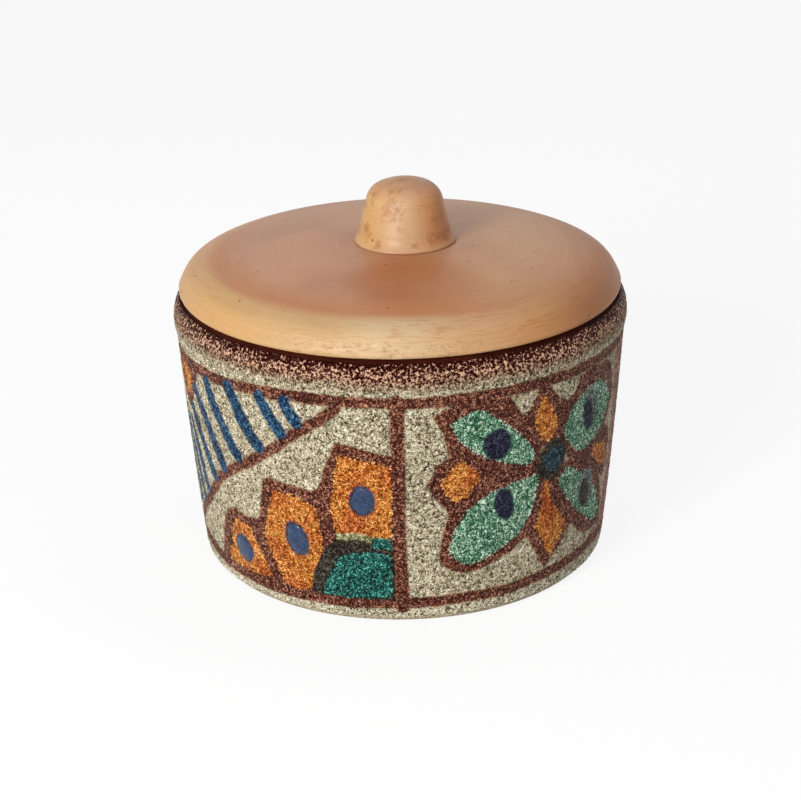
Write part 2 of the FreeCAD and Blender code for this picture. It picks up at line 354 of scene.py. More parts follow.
SUN_DOTS = [
    ("blue", (-10.4, 38.2), (3.5, 4.7), 4),
    ("blue", (-28.9, 23.6), (3.6, 5.2), 14),
    ("blue", (-48.2, 14.6), (3.8, 4.2), 24),
    ("slate", (-10.3, 38.2), (3.1, 4.3), 4),
    ("slate", (-28.8, 23.5), (3.3, 4.9), 14),
    ("slate", (-48.1, 14.5), (3.5, 3.9), 24),
]
print(len(SUN_AREAS + SUN_STROKES + SUN_DOTS), "shapes in the sun panel")

# %% [markdown]
# ### The rosette
#
# The second motif is a rosette of four leaves with four small petals between them and a dark heart. Dark
# drops lie on the leaves, some with a paler one below. A pink-brown blush tints the slip beside it.

# %% The rosette
ROSETTE_AREAS = [
    ("blush", [(69.5, 67), (82, 67), (82, 8), (58, 8), (62, 10.5), (69, 12), (70.5, 20), (71.5, 30),
               (71.5, 45), (69.5, 58)]),
    ("brown", [(7.2, 62.9), (10, 64.9), (13, 66.2), (20, 67), (26.4, 65.6), (28.5, 61.9), (31, 59.2),
               (34, 54), (36.5, 48), (35.5, 43.5), (31, 41.5), (24, 44), (18, 46), (13, 49), (10.7, 52),
               (9.6, 57.5)]),
    ("brown", [(36.2, 67.4), (38.7, 65.3), (40.5, 62.7), (44, 59.6), (44.5, 54), (43, 48.5), (36, 48.5),
               (33, 52), (30.8, 58.5), (32.6, 61), (34.3, 65)]),
    ("brown", [(42, 50), (42.5, 56), (44.6, 59.4), (47.3, 61.5), (49.6, 65.4), (56, 66), (62, 65.2),
               (66, 62.6), (68.1, 58), (68.4, 52), (67, 47.2), (62, 43.2), (57, 40.6), (52, 39.9),
               (46, 42)]),
    ("brown", [(5.5, 43), (7, 45.6), (7.5, 48.4), (10, 49.9), (13, 51.6), (17, 50), (21, 46.5), (24, 44),
               (36, 44.4), (36, 40.2), (24, 40), (19, 38.5), (14, 34.5), (11.2, 32.6), (10.4, 35.3),
               (8, 38), (7, 40.5)]),
    ("brown", [(11.2, 33.2), (9.8, 28.2), (8.9, 22), (8.8, 18.9), (11, 16.3), (16.5, 14.3), (20.3, 15.2),
               (25, 17.2), (28, 18.3), (31, 20.6), (34, 23.5), (37, 29), (38.3, 38), (38, 42), (30, 41.6),
               (22, 40), (15, 36.5)]),
    ("brown", [(40.5, 9.2), (43, 12), (46, 14.6), (47.6, 17), (49.8, 20.2), (48.5, 26), (44.5, 31),
               (43, 38), (36, 38), (35, 29), (31.5, 23.5), (31, 20.4), (33.2, 21.3), (34.4, 20.6),
               (35.6, 16.6), (38, 12.6)]),
    ("brown", [(42, 37), (44, 31), (47, 26), (49.8, 20.2), (54, 15.8), (58, 13.4), (63, 12.2), (68.2, 12),
               (68.9, 15), (67.6, 22), (64.5, 28), (60, 33.5), (54, 37.5), (48, 41), (44, 41)]),
    ("brown", [(46, 42), (52, 38.5), (58, 33), (62, 30), (67, 27), (70, 30), (70.6, 37), (69, 42),
               (64, 45), (56, 42)]),
    ("leaf", [(11.4, 60.2), (14.5, 62.1), (17.5, 63.3), (20, 63), (22.6, 60.6), (26, 57.5), (29, 54.6),
              (32.5, 50.6), (34.4, 47), (33.5, 45), (31.4, 44.2), (28, 45.8), (24, 47.3), (20, 49.4),
              (16.5, 52.3), (14, 55.2), (12.3, 58)]),
    ("orange", [(9, 42.7), (10.5, 45), (12.4, 48), (14.5, 49.2), (16.5, 46.9), (18.8, 44.6), (19, 42),
                (17, 40.4), (15.5, 38), (12.8, 36.9), (11, 39), (9.8, 41)]),
    ("leaf", [(36, 40.4), (33, 40.1), (28.5, 39.9), (24.5, 38.9), (22, 38), (18.5, 36), (15.5, 33.2),
              (13.5, 30), (12, 26.2), (11.4, 21), (13, 18.7), (16.5, 16.9), (20, 17.7), (25, 19.8),
              (29.5, 22.8), (32.5, 26), (34.5, 30), (35.6, 34), (36.1, 37.5)]),
    ("orange", [(38.5, 38.2), (39.5, 37), (40.3, 33), (41.8, 29), (44, 25.5), (47.1, 22), (46.8, 19.5),
                (45, 16), (42.3, 12.8), (40.5, 15), (38.8, 19), (35.8, 23), (36.3, 25.5), (37.5, 29),
                (37.8, 33)]),
    ("orange", [(36, 64.4), (38, 61.5), (39.5, 58), (41.4, 54.8), (41.1, 51.5), (39.5, 49.9), (37, 50.2),
                (35.1, 53), (33.6, 56.5), (34.7, 60)]),
    ("leaf", [(44.3, 50), (44.8, 53.5), (46.5, 56.5), (50, 58.8), (54, 60.3), (58.5, 60.6), (62, 58.9),
              (64.6, 56), (66.5, 52.5), (65.5, 49), (62, 45.5), (58, 42.9), (53.5, 41.6), (50, 42.7),
              (47, 45.5), (45, 48)]),
    ("orange", [(57.4, 39.6), (60, 40.3), (65.3, 39.2), (68.3, 36), (68.8, 33), (67, 30.6), (63, 33),
                (59.5, 36.5)]),
    ("leaf", [(46.4, 39.2), (49.5, 37), (54, 33.5), (58, 30.3), (61, 27), (63.5, 23.5), (65.5, 20),
              (67, 15.8), (66, 14.6), (62.5, 15.4), (58.5, 17.9), (54, 21.3), (49.5, 26), (46.3, 30),
              (44, 34), (43.4, 36.4)]),
]
ROSETTE_DOTS = [
    ("navy", (23.4, 52.6), (3.9, 4.6), 8),
    ("navy", (26, 34), (2.9, 5), 14),
    ("smoke", (55, 54), (3.4, 6.4), 16),
    ("navy", (54, 51.8), (2.2, 4.6), 12),
    ("smoke", (56, 28.6), (4.3, 6.2), 14),
    ("black", (55.4, 27.4), (2.5, 4.2), 10),
    ("black", (40.2, 43.4), (5.5, 6), 0),
    ("teal_blue", (40.9, 43.6), (3.6, 3.6), 0),
]
PAINT_ORDER = ("blush", "brown", "orange", "leaf", "sage", "smoke",
               "black", "teal", "blue", "teal_blue", "slate", "navy")
print(len(ROSETTE_AREAS + ROSETTE_DOTS), "shapes in the rosette panel")

# %% [markdown]
# ## Measuring depth in a shape
#
# The depth in an area is the distance to its nearest edge, with a plus sign inside. For a brush stroke it
# is the half width of the brush less the distance to the stroke's path, and for a dot it comes from the
# equation of an ellipse.

# %% Depth in areas, strokes and dots
PAINT_RADIUS = 62.6


def unrolled(corners):
    """Corners (angle in degrees, height) as mm on the unrolled wall."""
    return np.array(corners, float) * (math.radians(1) * PAINT_RADIUS, 1)


def to_edges(spots, starts, ends):
    """The distance from each spot to the nearest of the edges."""
    along = ends - starts
    share = np.einsum("nek,ek->ne", spots[:, None] - starts, along) / (along ** 2).sum(1)
    nearest = starts + np.clip(share, 0, 1)[..., None] * along
    return np.linalg.norm(spots[:, None] - nearest, axis=2).min(1)


def depth_in_area(spots, corners):
    """Depth inside a closed area: above 0 inside."""
    starts = unrolled(corners)
    ends = np.roll(starts, -1, 0)
    x, y = spots[:, :1], spots[:, 1:]
    crosses = (starts[:, 1] > y) != (ends[:, 1] > y)
    rises = np.where(starts[:, 1] == ends[:, 1], 1, ends[:, 1] - starts[:, 1])
    left_of = x < starts[:, 0] + (y - starts[:, 1]) * (ends[:, 0] - starts[:, 0]) / rises
    inside = (crosses & left_of).sum(1) % 2
    return to_edges(spots, starts, ends) * np.where(inside, 1, -1)


def depth_in_stroke(spots, half_width, path):
    """Depth inside a brush stroke."""
    path = unrolled(path)
    return half_width - to_edges(spots, path[:-1], path[1:])


def depth_in_dot(spots, middle, halves, lean):
    """Depth inside a leaning oval."""
    away = spots - unrolled([middle])
    lean = math.radians(lean)
    across = away @ (math.cos(lean), math.sin(lean)) / halves[0]
    up = away @ (-math.sin(lean), math.cos(lean)) / halves[1]
    return (1 - np.hypot(across, up)) * min(halves)


# %% [markdown]
# ## Painting the wall
#
# On the real box a brush ran over rough, sandy ground while the box was turned by hand. A motif is laid
# here on the points of the mesh that lie near it. The points are shaken a little first, which gives the
# outlines the wavering of a brush. The frame lines run all the way round and sink and swell a little. A
# picture wrapped round the wall could carry a painting too, but it would have one fixed sharpness; depths
# that ride on the mesh stay sharp from near and far.

# %% Places of the motifs, bars and frame lines
SUN_TURNS, ROSETTE_TURNS = (0, 180), (0, 180.6)
BARS = [
    [(-1.3, 68), (-1.25, 30), (-0.8, 5)],
    [(82.6, 68), (82.2, 5)],
    [(178.7, 68), (179.2, 5)],
    [(-91.4, 68), (-91.8, 5)],
]
TOP_LINE = [(-92, 64.8), (-65, 65.1), (-50, 65.6), (-30, 67), (-15, 67.3), (0, 67.2), (33, 67.7),
            (60, 67.6), (84, 67), (120, 66.6), (160, 67.3), (200, 66.4), (240, 65.3), (268, 64.8)]
FOOT_LINE = [(-92, 8), (-75, 7.8), (-60, 6.4), (-45, 5.7), (-25, 5.9), (-10, 5.9), (0, 6.5), (30, 6.7),
             (45, 7.6), (60, 8), (84, 7.2), (130, 6.2), (180, 6.6), (225, 7.4), (268, 8)]
LINES_START = -92
BAR_HALF, LINE_HALF = 1.85, 1.6
panels = len(SUN_TURNS + ROSETTE_TURNS)
print(panels, "panels,", len(BARS), "bars between them, and a frame line at top and foot")

# %% Lay them on the wall
MOTIF_REACH = 100
FAR_OUTSIDE = -9.0
# Each waver of the brush: its size, how far it moves the brush, and the seeds across and up.
BRUSH_WAVERS = [(5, 0.3, 3, 9), (1.7, 0.22, 5, 7)]


class PaintPlan:
    """How deep each point of the wall lies inside each paint."""

    def __init__(self, angle, height, places):
        self.spots = np.c_[angle * PAINT_RADIUS, height]
        for size, reach, across, up in BRUSH_WAVERS:
            self.spots += reach * np.c_[swelling(places, size, across), swelling(places, size, up)]
        self.depths = {paint: np.full(len(self.spots), FAR_OUTSIDE) for paint in PAINT_ORDER}

    def lay(self, paint, turn, measure, *shape):
        """One shape of a paint, turned by so many degrees round the wall."""
        half_round = math.pi * PAINT_RADIUS
        local = self.spots - unrolled([(turn, 0)])
        local[:, 0] = (local[:, 0] + half_round) % (2 * half_round) - half_round
        near = np.abs(local[:, 0]) < math.radians(MOTIF_REACH) * PAINT_RADIUS
        depth = self.depths[paint]
        depth[near] = np.maximum(depth[near], measure(local[near], *shape))

    def lay_motif(self, turns, areas, strokes, dots):
        """All shapes of a motif, at each of its turns."""
        for turn in turns:
            for paint, corners in areas:
                self.lay(paint, turn, depth_in_area, corners)
            for paint, *brush in strokes:
                self.lay(paint, turn, depth_in_stroke, *brush)
            for paint, *oval in dots:
                self.lay(paint, turn, depth_in_dot, *oval)

    def lay_bar(self, bar):
        """An upright bar between two panels."""
        turn = bar[0][0]
        path = [(angle - turn, height) for angle, height in bar]
        self.lay("brown", turn, depth_in_stroke, BAR_HALF, path)

    def lay_line(self, line):
        """A frame line all the way round."""
        degrees = (np.degrees(self.spots[:, 0] / PAINT_RADIUS) - LINES_START) % 360 + LINES_START
        middle = np.interp(degrees, *zip(*line))
        line_depth = LINE_HALF - np.abs(self.spots[:, 1] - middle)
        self.depths["brown"] = np.maximum(self.depths["brown"], line_depth)


def painted_depths(angle, height, places):
    """For each paint, how deep each point of the wall lies inside it."""
    plan = PaintPlan(angle, height, places)
    plan.lay_motif(SUN_TURNS, SUN_AREAS, SUN_STROKES, SUN_DOTS)
    plan.lay_motif(ROSETTE_TURNS, ROSETTE_AREAS, [], ROSETTE_DOTS)
    for bar in BARS:
        plan.lay_bar(bar)
    for line in (TOP_LINE, FOOT_LINE):
        plan.lay_line(line)
    return plan.depths


# %% [markdown]
# ## A flat map of the coat
#
# Node materials can be baked into pictures, and a picture needs a flat map of the piece. The coat is
# unrolled by its angle and its way up the outline, so the map is exact and every part of the wall gets
# about the same room. The wall is cut into quarters, two by two, because that fills a square better than
# one long strip. The back of the coat, which the pot hides, is squeezed into a narrow band.

# %% Unroll a coat
QUARTERS = 4
MAP_MARGIN, SLACK_COLUMNS = 0.004, 4
WALL_SHARE = 0.47
PAINTED_RUN = 1


def way_across(turning):
    """For each corner of a triangle, its way across its quarter from 0 to 1, and the quarter's number."""
    full = 2 * math.pi
    angle = turning.angle[turning.triangles]
    middle = np.angle(np.exp(1j * angle).sum(1)) % full
    quarter = np.minimum((middle / full * QUARTERS).astype(int), QUARTERS - 1)[:, None]
    local = (angle - (quarter + 0.5) * full / QUARTERS + math.pi) % full - math.pi
    squeeze = 1 / (1 + SLACK_COLUMNS * QUARTERS / turning.columns)
    return MAP_MARGIN + (1 - 2 * MAP_MARGIN) * (0.5 + local / (full / QUARTERS) * squeeze), quarter


def way_up(turning):
    """For each corner of a triangle, its way up the outline in mm, and where the back begins and ends."""
    steps = np.linalg.norm(np.diff(turning.outline, axis=0), axis=1)
    along = np.concatenate([[0], np.cumsum(steps)])
    back_end = along[-1] + steps[0]
    row = turning.row_of[turning.triangles]
    closing = (row.max(1) - row.min(1) > 1)[:, None]
    up = np.where(closing & (row == 0), back_end, along[row])
    return up, along[np.flatnonzero(turning.outline_run > PAINTED_RUN)[0]], back_end


def unroll(piece, turning):
    """A flat map of the coat: the wall in quarters, and its hidden back in a narrow band."""
    across, quarter = way_across(turning)
    up, back_start, back_end = way_up(turning)
    wall_u = (across + quarter % 2) / 2
    wall_v = MAP_MARGIN + up / back_start * (WALL_SHARE - 2 * MAP_MARGIN) + quarter // 2 * WALL_SHARE
    back_u = (across + quarter) / QUARTERS
    back_room = 1 - 2 * WALL_SHARE - 2 * MAP_MARGIN
    back_v = 2 * WALL_SHARE + MAP_MARGIN + (up - back_start) / (back_end - back_start) * back_room
    is_back = (turning.run[turning.triangles] > PAINTED_RUN).any(1)[:, None]
    flat = np.stack([np.where(is_back, back_u, wall_u), np.where(is_back, back_v, wall_v)], 2)
    layer = piece.data.uv_layers.new(name="OFBake")
    layer.data.foreach_set("uv", flat.reshape(-1).astype(np.float32))
    print("flat map from", flat.min((0, 1)).round(3), "to", flat.max((0, 1)).round(3))


# %% [markdown]
# ## The gritty coat
#
# On the real box the coat is slip mixed with coarse sand, about 0.9 mm thick, and its grain catches the
# light. A bump in the material would look the same from in front but stay flat at the edge of the view.
# So the coat is turned with points closer than the grains, and each point is pressed in by a chance
# amount. The smooth blue dots are thick drops of glaze that drown the grit, and the brown glaze of the
# rim half fills it.

# %% Turn the coat
COAT_COLUMNS, COAT_FOOT_STEP, GRAIN_STEP, COAT_TOP_STEP, COAT_BACK_STEP = 636, 1.0, 0.555, 0.4, 9.0
GRAIN_DEPTH, LUMP_DEPTH, PAINT_SKIN, DROP_DEPTH = 0.36, 0.1, 0.04, 0.1
LUMP_SIZES = (3.6, 1.9)
DROP_EDGE = (-0.3, 0.5)
RIM_GLAZE, RIM_FILLED = (71.0, 75.5), 0.45


def store(piece, name, values):
    """Keeps one number for each point of a piece, for its material to read."""
    layer = piece.data.attributes.new(name, "FLOAT", "POINT")
    layer.data.foreach_set("value", np.asarray(values, np.float32))


coat_steps = (COAT_FOOT_STEP, GRAIN_STEP, COAT_TOP_STEP, COAT_BACK_STEP, COAT_BACK_STEP)
coat_turning = Turning("sand_slip_coat", coat_steps, COAT_COLUMNS)
depths = painted_depths(coat_turning.angle, coat_turning.height, coat_turning.places)
grit = chance.random(len(coat_turning.angle))
lumps = [swelling(coat_turning.places, size, seed) for seed, size in enumerate(LUMP_SIZES, 1)]
lumpy = 0.5 + sum(lumps) / (2 * len(LUMP_SIZES))
filled = RIM_FILLED * rise(coat_turning.height, *RIM_GLAZE)
coat_relief = PAINT_SKIN + (1 - filled) * (GRAIN_DEPTH * grit + LUMP_DEPTH * lumpy)
drowned = rise(depths["slate"], *DROP_EDGE)
coat_relief += drowned * (DROP_DEPTH - coat_relief)
coat = coat_turning.mesh("coat_painted", np.where(coat_turning.run == PAINTED_RUN, coat_relief, 0))
unroll(coat, coat_turning)
store(coat, "grit", 1 - grit)
for paint in PAINT_ORDER:
    store(coat, paint, depths[paint])
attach(coat, "pot")
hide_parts("sand_slip_coat")

# %% [markdown]
# ## The thrown pot
#
# Under the coat is the pot itself. Inside, the fingers that pulled the wall up left a spiral of shallow
# rings, and the floor shows the rings of the last smoothing. A spiral is a sine wave that moves on by one
# turn of the wheel, so it needs no drawing. Outside, only the foot and the top of the rim show.

# %% Turn the pot
POT_STEP, POT_COLUMNS = 1.0, 264
FINGER_PITCH, FINGER_DEPTH = 5.4, 0.35
FINGER_DRIFT, FINGER_DRIFT_SIZE = 0.5, 20
FLOOR_PITCH, FLOOR_DEPTH = 6.5, 0.18
WALL_RINGS = (12, 20, 66, 72)
FLOOR_EYE = (2, 8)
FLOOR_LOW, FLOOR_HIGH = 1, 7.5
RIM_TOP = 76
SMEAR_TOP, FOOT_EDGE = 3, 56.9

pot_turning = Turning("pot_body", POT_STEP, POT_COLUMNS)


def wheel_rings(distance, pitch, drift=0.0):
    """A spiral of shallow rings on the pot, from 0 to 1, one pitch further at each turn of the wheel."""
    return 0.5 + 0.5 * np.sin(2 * math.pi * distance / pitch - pot_turning.angle + drift)


height, radius = pot_turning.height, pot_turning.radius
inner_wall = (pot_turning.outward[:, :2] * pot_turning.places[:, :2]).sum(1) < 0
floor_inside = (height > FLOOR_LOW) & (height < FLOOR_HIGH)
drift = FINGER_DRIFT * swelling(pot_turning.places, FINGER_DRIFT_SIZE)
wall_depth = FINGER_DEPTH * inner_wall * within(height, *WALL_RINGS)
floor_depth = FLOOR_DEPTH * floor_inside * rise(radius, *FLOOR_EYE)
pot_relief = wall_depth * wheel_rings(height, FINGER_PITCH, drift)
pot_relief += floor_depth * wheel_rings(radius, FLOOR_PITCH)
pot = pot_turning.mesh("pot_thrown", pot_relief)
store(pot, "glazed", inner_wall | floor_inside | (height > RIM_TOP))
store(pot, "slip_smear", ~inner_wall & (height < SMEAR_TOP) & (radius > FOOT_EDGE))
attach(pot, "pot")
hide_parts("pot_body")

# %% [markdown]
# ## The lid
#
# The lid was turned on the wheel and rubbed smooth, so it is the most even piece, with faint rings from
# the turning tool. It is never quite true, so its surface wavers by a tenth of a millimetre, and its edge
# has nicks from being knocked. The tool's rings come from noise that is asked at the radius and height
# only, so it is the same all the way round. Where the tool slipped, the rings drift with the angle.

# %% Turn the lid
LID_COLUMNS, HOLLOW_STEP, SEAT_STEP, TOP_STEP = 300, 1.5, 0.6, 0.33
TOOL_RING, TOOL_SLIP, TOOL_DEPTH = 0.8, 1.9, 0.05
SLIP_DRIFT = 0.6
WAVER_SIZE, WAVER_DEPTH = 24, 0.12
NICK_SIZE, NICK_FLATTENED, NICK_PATCH, NICK_DEPTH = 1.5, 2.6, 13, 0.4
NICK_RISE, PATCH_RISE = (0.42, 0.75), (-0.1, 0.35)
LID_EDGE = (78.9, 79.8, 82, 84.5)

lid_turning = Turning("lid_disc", (HOLLOW_STEP, SEAT_STEP, TOP_STEP), LID_COLUMNS)
height, radius = lid_turning.height, lid_turning.radius
rings = swelling(np.c_[radius, height, 0 * height], TOOL_RING, 5)
slips = swelling(np.c_[radius, height, SLIP_DRIFT * lid_turning.angle], TOOL_SLIP, 6)
tool_marks = 0.5 + (rings + slips) / 4
waver = 0.5 + 0.5 * swelling(lid_turning.places, WAVER_SIZE, 4)
nicks = rise(swelling(lid_turning.places * (1, 1, NICK_FLATTENED), NICK_SIZE, 8), *NICK_RISE)
nicks *= rise(swelling(lid_turning.places, NICK_PATCH, 3), *PATCH_RISE) * within(height, *LID_EDGE)
lid = lid_turning.mesh("lid_turned", TOOL_DEPTH * tool_marks + WAVER_DEPTH * waver + NICK_DEPTH * nicks)
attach(lid, "lid")
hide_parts("lid_disc")

# %% [markdown]
# ## The ring and the knob
#
# The ring that drops into the mouth and the knob were made apart and stuck on with slip. The ring is a
# rolled coil of clay, pressed into place. The knob was shaped with the fingers: it leans a little, and
# its sides are not quite round, so swellings as broad as a fingertip press into its flank.

# %% Turn the ring and the knob
RING_COLUMNS, RING_STEP = 240, 0.5
RING_WAVER, RING_WAVER_SIZE = 0.1, 9
KNOB_AXIS = 1.8
KNOB_COLUMNS, KNOB_STEP = 180, 0.6
FINGERTIP, FINGERTIP_DEPTH = 8, 0.35
KNOB_FLANK = (91.5, 95)

ring_turning = Turning("lid_locating_ring", RING_STEP, RING_COLUMNS)
ring_waver = swelling(ring_turning.places, RING_WAVER_SIZE, 2)
ring = ring_turning.mesh("ring_luted", RING_WAVER * (1 + ring_waver))
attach(ring, "lid")
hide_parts("lid_locating_ring")

knob_turning = Turning("lid_knob", KNOB_STEP, KNOB_COLUMNS, KNOB_AXIS)
finger_marks = 0.5 + 0.5 * swelling(knob_turning.places, FINGERTIP, 3)
knob_relief = FINGERTIP_DEPTH * finger_marks * rise(knob_turning.height, *KNOB_FLANK)
knob = knob_turning.mesh("knob_handmade", knob_relief)
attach(knob, "lid")
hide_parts("lid_knob")

# %% [markdown]
# ## Mixing materials
#
# A material in Blender is a sheet of joined nodes. Adding them by hand in code is slow to read, so three
# small classes keep the recipes short. A field is a number that changes over the surface, and sums of
# fields are written as plain sums, each of which adds its node. A sheet adds single nodes, ranges and
# blends. A finish is a sheet that also has noise, ramps and mixes of colours.

# %% Fields
def seen(red, green, blue):
    """A colour as it looks on a screen, 0 to 255, turned into the light values that Blender mixes."""
    shares = [c / 255 for c in (red, green, blue)]
    return tuple(((c + 0.055) / 1.055) ** 2.4 if c > 0.04 else c / 12.92 for c in shares) + (1,)


class Field:
    """A number that changes over a surface."""

    def __init__(self, sheet, socket):
        self.sheet = sheet
        self.socket = socket

    def __add__(self, other):
        return self.sheet.math("ADD", self, other)

    def __sub__(self, other):
        return self.sheet.math("SUBTRACT", self, other)

    def __rsub__(self, other):
        return self.sheet.math("SUBTRACT", other, self)

    def __mul__(self, other):
        return self.sheet.math("MULTIPLY", self, other)

    def __truediv__(self, other):
        return self.sheet.math("DIVIDE", self, other)

    def __abs__(self):
        return self.sheet.math("ABSOLUTE", self)


# %% Sheets of nodes
class Sheet:
    """The node sheet of one material, or of the sky."""

    def __init__(self, name, tree=None):
        if tree is None:
            self.material = bpy.data.materials.new(name)
            self.material.use_nodes = True
            tree = self.material.node_tree
        self.tree = tree
        self.tree.nodes.clear()
        self.place = self.add("ShaderNodeTexCoord").outputs["Object"]

    def fill(self, socket, value):
        """Sets an input to a number or a colour, or joins it to a field or the output of a node."""
        value = value.socket if isinstance(value, Field) else value
        if isinstance(value, bpy.types.NodeSocket):
            self.tree.links.new(value, socket)
        else:
            socket.default_value = value

    def add(self, kind, inputs=None, **settings):
        """Adds a node and fills its inputs."""
        node = self.tree.nodes.new(kind)
        for name, value in settings.items():
            setattr(node, name, value)
        for name, value in (inputs or {}).items():
            self.fill(node.inputs[name], value)
        return node

    def math(self, operation, *values):
        """One sum of fields and numbers."""
        node = self.add("ShaderNodeMath", dict(enumerate(values)), operation=operation)
        return Field(self, node.outputs[0])

    def spread(self, value, low, high, new_low=0.0, new_high=1.0, smooth=False):
        """Moves the range low..high of a value to a new range, and cuts off what lies outside."""
        node = self.add("ShaderNodeMapRange", {"Value": value, "From Min": low, "From Max": high,
                                               "To Min": new_low, "To Max": new_high})
        node.interpolation_type = "SMOOTHSTEP" if smooth else "LINEAR"
        return Field(self, node.outputs[0])

    def fade(self, value, low, high, full=1.0, smooth=False):
        """Full at low, and fading to 0 at high."""
        return self.spread(value, low, high, full, 0.0, smooth)

    def stored(self, name):
        """A number that the piece keeps for each point."""
        return Field(self, self.add("ShaderNodeAttribute", attribute_name=name).outputs["Fac"])

    def millimetres(self):
        """The place on the object as three fields in mm."""
        sides = self.add("ShaderNodeSeparateXYZ", {0: self.place}).outputs
        return [Field(self, side) / MM for side in sides]

    def blend(self, share, a, b):
        """Number b in place of number a by a share from 0 to 1."""
        return Field(self, self.add("ShaderNodeMix", {0: share, 2: a, 3: b}).outputs[0])


# %% Sheets with noise and colours
NOISE_RANGE = (0.3, 0.7)


class Finish(Sheet):
    """A material's sheet that also knows noise, colours and the shader."""

    def noise(self, size, detail=2.0, roughness=0.5, place=None, stretch=(1, 1, 1), shift=0.0):
        """Noise whose blobs are about `size` mm, spread to fill 0 to 1."""
        moved = self.add("ShaderNodeMapping", {"Vector": place or self.place, "Scale": stretch,
                                               "Location": (shift,) * 3})
        raw = self.add("ShaderNodeTexNoise", {"Vector": moved.outputs[0], "Scale": 1 / (size * MM),
                                              "Detail": detail, "Roughness": roughness})
        return self.spread(raw.outputs[0], *NOISE_RANGE)

    def cells(self, size, feature):
        """The distance to the middle or the edge of chance cells that are about `size` mm wide."""
        inputs = {"Vector": self.place, "Scale": 1 / (size * MM)}
        return self.add("ShaderNodeTexVoronoi", inputs, feature=feature).outputs["Distance"]

    def ramp(self, value, *stops):
        """Colours along a value from 0 to 1: stops of (position, colour)."""
        node = self.add("ShaderNodeValToRGB", {"Fac": value})
        elements = node.color_ramp.elements
        while len(elements) < len(stops):
            elements.new(0.5)
        for element, (position, colour) in zip(elements, stops):
            element.position = position
            element.color = colour
        return node.outputs[0]

    def mix(self, share, a, b):
        """Colour b laid over colour a by a share from 0 to 1."""
        node = self.add("ShaderNodeMix", data_type="RGBA")
        for number, value in ((0, share), (6, a), (7, b)):
            self.fill(node.inputs[number], value)
        return node.outputs[2]

    def join(self, colour, roughness, bump, bump_depth, specular):
        """Joins the fields to the shader. A specular level that is one number is set on the shader."""
        bumped = self.add("ShaderNodeBump", {"Height": bump, "Distance": bump_depth * MM, "Strength": 1.0})
        shader = self.add("ShaderNodeBsdfPrincipled", {
            "Base Color": colour, "Roughness": roughness, "Normal": bumped.outputs[0],
            "Specular IOR Level": specular})
        self.add("ShaderNodeOutputMaterial", {"Surface": shader.outputs[0]})
        print(self.material.name, "has", len(self.tree.nodes), "nodes")
        return self.material


# %% [markdown]
# ## The painted coat's colours
#
# Sand shows through every paint: each paint is darker in the pits and paler on the tips of the grains,
# partly because paint pools in the pits and wears off the tips, and partly as painted shade in the pits and
# painted light on the tips. So each paint is three colours along the height of the grain, pit, body and
# tip. The paints are laid over each other in the order of the painter's work, and the edge of each is
# frayed by the grain that it runs over. The rim was dipped last: its red-brown glaze thins out downwards
# over the sand. The slate drops are swollen drops, smooth and glossy.

# %% Colours of the paints
# Each paint: the colour in the pits (partly painted shade), of the body and on the tips (partly painted
# light), and its roughness.
PAINTS = {
    "cream": (seen(56, 47, 31), seen(182, 168, 134), seen(246, 240, 220), 0.72),
    "blush": (seen(68, 34, 27), seen(158, 116, 101), seen(228, 190, 175), 0.65),
    "brown": (seen(30, 6, 2), seen(83, 28, 12), seen(202, 146, 118), 0.5),
    "red_orange": (seen(76, 20, 2), seen(184, 76, 24), seen(244, 164, 100), 0.5),
    "orange": (seen(98, 42, 2), seen(188, 99, 22), seen(252, 200, 120), 0.5),
    "leaf": (seen(6, 58, 40), seen(76, 134, 100), seen(240, 252, 230), 0.5),
    "sage": (seen(50, 52, 26), seen(136, 136, 90), seen(226, 220, 178), 0.6),
    "black": (seen(8, 6, 4), seen(32, 27, 18), seen(108, 98, 84), 0.45),
    "teal": (seen(0, 26, 24), seen(0, 68, 61), seen(104, 196, 176), 0.45),
    "blue": (seen(2, 10, 28), seen(3, 40, 78), seen(90, 140, 168), 0.45),
    "teal_blue": (seen(2, 14, 22), seen(8, 36, 48), seen(84, 118, 124), 0.4),
    "slate": (seen(26, 38, 66), seen(36, 53, 80), seen(50, 67, 91), 0.3),
    "navy": (seen(2, 1, 16), seen(12, 10, 38), seen(80, 80, 104), 0.45),
    "smoke": (seen(34, 42, 38), seen(88, 102, 94), seen(184, 192, 182), 0.5),
    "rim": (seen(38, 4, 1), seen(68, 14, 4), seen(228, 182, 152), 0.42),
    "rim_grain": (seen(44, 11, 3), seen(98, 52, 28), seen(206, 160, 120), 0.6),
}
print(len(PAINTS), "paints")

# %% [markdown]
# ### Grain
#
# The tone of the grain comes from two noises of the size of the sand, from the chance depth of each
# point, and from hair cracks along the edges of chance cells. Deeper points and the cracks get a lower,
# darker tone, partly as painted shade. The same noises fray the edges of the paints, so paint and sand
# belong together.

# %% The grain's fields
COARSE_GRAIN, FINE_GRAIN, MOTTLE = 0.75, 0.36, 9
CRACK_CELL, CRACK_EDGE, CRACK_PATCH, CRACKED = 0.7, (0.02, 0.15), 1.3, (0.35, 0.75)
# What the noises add to the height of the grain, to its tone and to the fray of the paints.
COARSE_SHARE, FINE_SHARE, GRIT_SHARE = 0.32, 0.56, 0.12
GRAIN_RANGE, MOTTLE_TONE, CRACK_TONE = (0.24, 0.78), 0.14, 0.5
FINE_FRAY, COARSE_FRAY = 0.9, 0.7
PIT_TONE, BODY_LOW, BODY_HIGH, TIP_TONE = 0.06, 0.38, 0.54, 0.84


